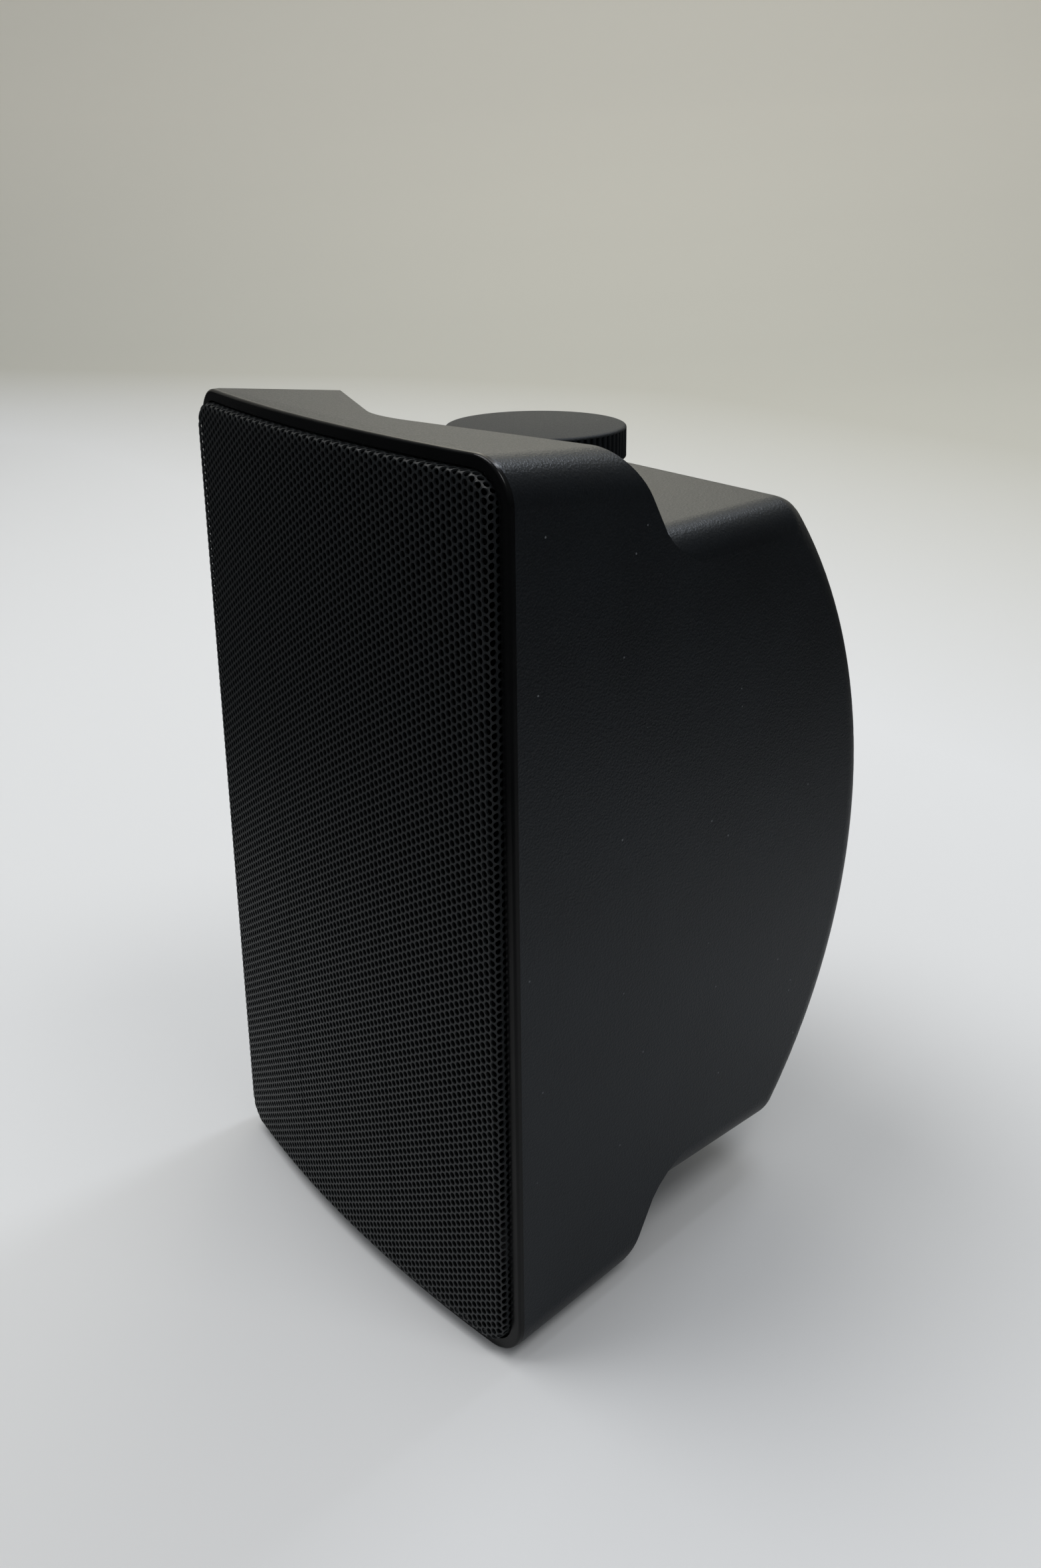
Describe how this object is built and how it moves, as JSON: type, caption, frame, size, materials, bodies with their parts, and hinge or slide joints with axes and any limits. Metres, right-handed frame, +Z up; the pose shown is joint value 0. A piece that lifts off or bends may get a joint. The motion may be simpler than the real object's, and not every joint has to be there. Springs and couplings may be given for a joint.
{
  "type": "outdoor patio speaker",
  "caption": "Outdoor patio speaker: tapered moulded cabinet with a bowed perforated grille, stepped bracket shelves with ribbed clamp knobs, and a recessed spring-clip terminal panel.",
  "frame": {"origin": "middle of the footprint, at the level of the front frame's lower edge", "axes": "+Z up, -Y out of the grille, +X to the right seen from the front"},
  "size_m": [0.1564, 0.1596, 0.25],
  "materials": {
    "cabinet_plastic": "fine leather grain, UV-stable black",
    "frame_plastic": "smooth satin black",
    "grille_steel": "black powder coat",
    "scrim_cloth": "open black cloth",
    "foam": "closed-cell foam",
    "basket_steel": "black",
    "butyl_rubber": "matt",
    "polypropylene": "satin",
    "aluminium_foil": "plain",
    "copper_wire": "enamelled copper",
    "resin_cloth": "resin-stiffened",
    "plated_steel": "zinc plated",
    "ferrite": "sintered, ground faces",
    "screw_steel": "black oxide",
    "silk": "coated",
    "terminal_plastic": "moulded",
    "lever_red": "moulded",
    "lever_black": "moulded",
    "brass": "plain",
    "circuit_board": "phenolic paper",
    "bobbin_nylon": "moulded",
    "capacitor_film": "sleeved",
    "ceramic": "cement",
    "knob_plastic": "fine matt",
    "washer_rubber": "matt"
  },
  "bodies": {
    "housing": {"cabinet": "cabinet_plastic", "front_frame": "frame_plastic", "frame_gasket": "foam", "frame_screws": "screw_steel", "grille": "grille_steel", "grille_scrim": "scrim_cloth", "woofer_basket": "basket_steel", "woofer_surround": "butyl_rubber", "woofer_spider": "resin_cloth", "woofer_top_plate": "plated_steel", "woofer_magnet": "ferrite", "woofer_yoke": "plated_steel", "woofer_screws": "screw_steel", "tweeter_faceplate": "frame_plastic", "tweeter_surround": "butyl_rubber", "tweeter_top_plate": "plated_steel", "tweeter_magnet": "ferrite", "tweeter_yoke": "plated_steel", "tweeter_screws": "screw_steel", "terminal_block": "terminal_plastic", "terminal_contacts": "brass", "terminal_screws": "screw_steel", "crossover_board": "circuit_board", "board_screws": "plated_steel", "inductor_bobbin": "bobbin_nylon", "inductor_winding": "copper_wire", "capacitors": "capacitor_film", "resistor": "ceramic", "upper_washer": "washer_rubber", "upper_insert": "brass", "lower_washer": "washer_rubber", "lower_insert": "brass"},
    "woofer_cone": {"woofer_cone": "polypropylene", "dust_cap": "polypropylene", "coil_former": "aluminium_foil", "coil_winding": "copper_wire"},
    "tweeter_dome": {"tweeter_dome": "silk", "tweeter_coil": "copper_wire"},
    "upper_knob": {"upper_knob": "knob_plastic", "upper_stud": "plated_steel"},
    "lower_knob": {"lower_knob": "knob_plastic", "lower_stud": "plated_steel"},
    "lever_red": {"lever_red": "lever_red"},
    "lever_black": {"lever_black": "lever_black"}
  },
  "joints": [
    {"name": "woofer_travel", "type": "slide", "parent": "housing", "child": "woofer_cone", "axis": [0, 1, 0], "range_m": [-0.003, 0.003], "stiffness_N_per_m": 1100, "deforming": ["woofer_surround", "woofer_spider"]},
    {"name": "tweeter_travel", "type": "slide", "parent": "housing", "child": "tweeter_dome", "axis": [0, 1, 0], "range_m": [-0.0003, 0.0003], "stiffness_N_per_m": 1500, "deforming": ["tweeter_surround"]},
    {"name": "upper_knob_turn", "type": "hinge", "parent": "housing", "child": "upper_knob", "pos_m": [0, -0.006, 0.229], "axis": [0, 0, 1], "range_deg": [0, 360]},
    {"name": "lower_knob_turn", "type": "hinge", "parent": "housing", "child": "lower_knob", "pos_m": [0, -0.006, 0.021], "axis": [0, 0, -1], "range_deg": [0, 360]},
    {"name": "lever_red_press", "type": "hinge", "parent": "housing", "child": "lever_red", "pos_m": [-0.012, 0.0698, 0.1326], "axis": [-1, 0, 0], "range_deg": [0, 12], "stiffness_Nm_per_rad": 0.4},
    {"name": "lever_black_press", "type": "hinge", "parent": "housing", "child": "lever_black", "pos_m": [0.012, 0.0698, 0.1326], "axis": [-1, 0, 0], "range_deg": [0, 12], "stiffness_Nm_per_rad": 0.4}
  ]
}
